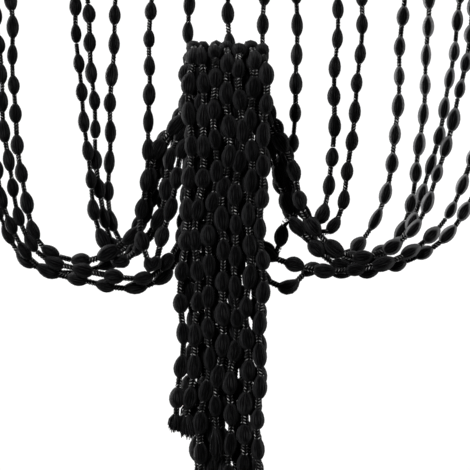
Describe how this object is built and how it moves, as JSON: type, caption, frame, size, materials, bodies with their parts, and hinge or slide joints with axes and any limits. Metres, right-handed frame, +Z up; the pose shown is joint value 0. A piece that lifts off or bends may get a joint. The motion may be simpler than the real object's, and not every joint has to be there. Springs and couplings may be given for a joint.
{
  "type": "beaded string curtain",
  "caption": "Door curtain of beaded yarn strands on a cloth heading, drawn into two swags and a hanging bundle.",
  "frame": {"origin": "middle of the heading's top edge, where the curtain is fixed to the door frame", "axes": "+Z up, +X along the heading to the right as seen from the front, and the front faces -Y"},
  "size_m": [0.9, 0.1274, 1.6558],
  "materials": {
    "heading_cloth": "matte",
    "yarn": "matte",
    "twisted_cord": "satin"
  },
  "bodies": {
    "root": {"heading_band": "heading_cloth", "strands_left": "yarn", "strands_right": "yarn"}
  },
  "joints": []
}
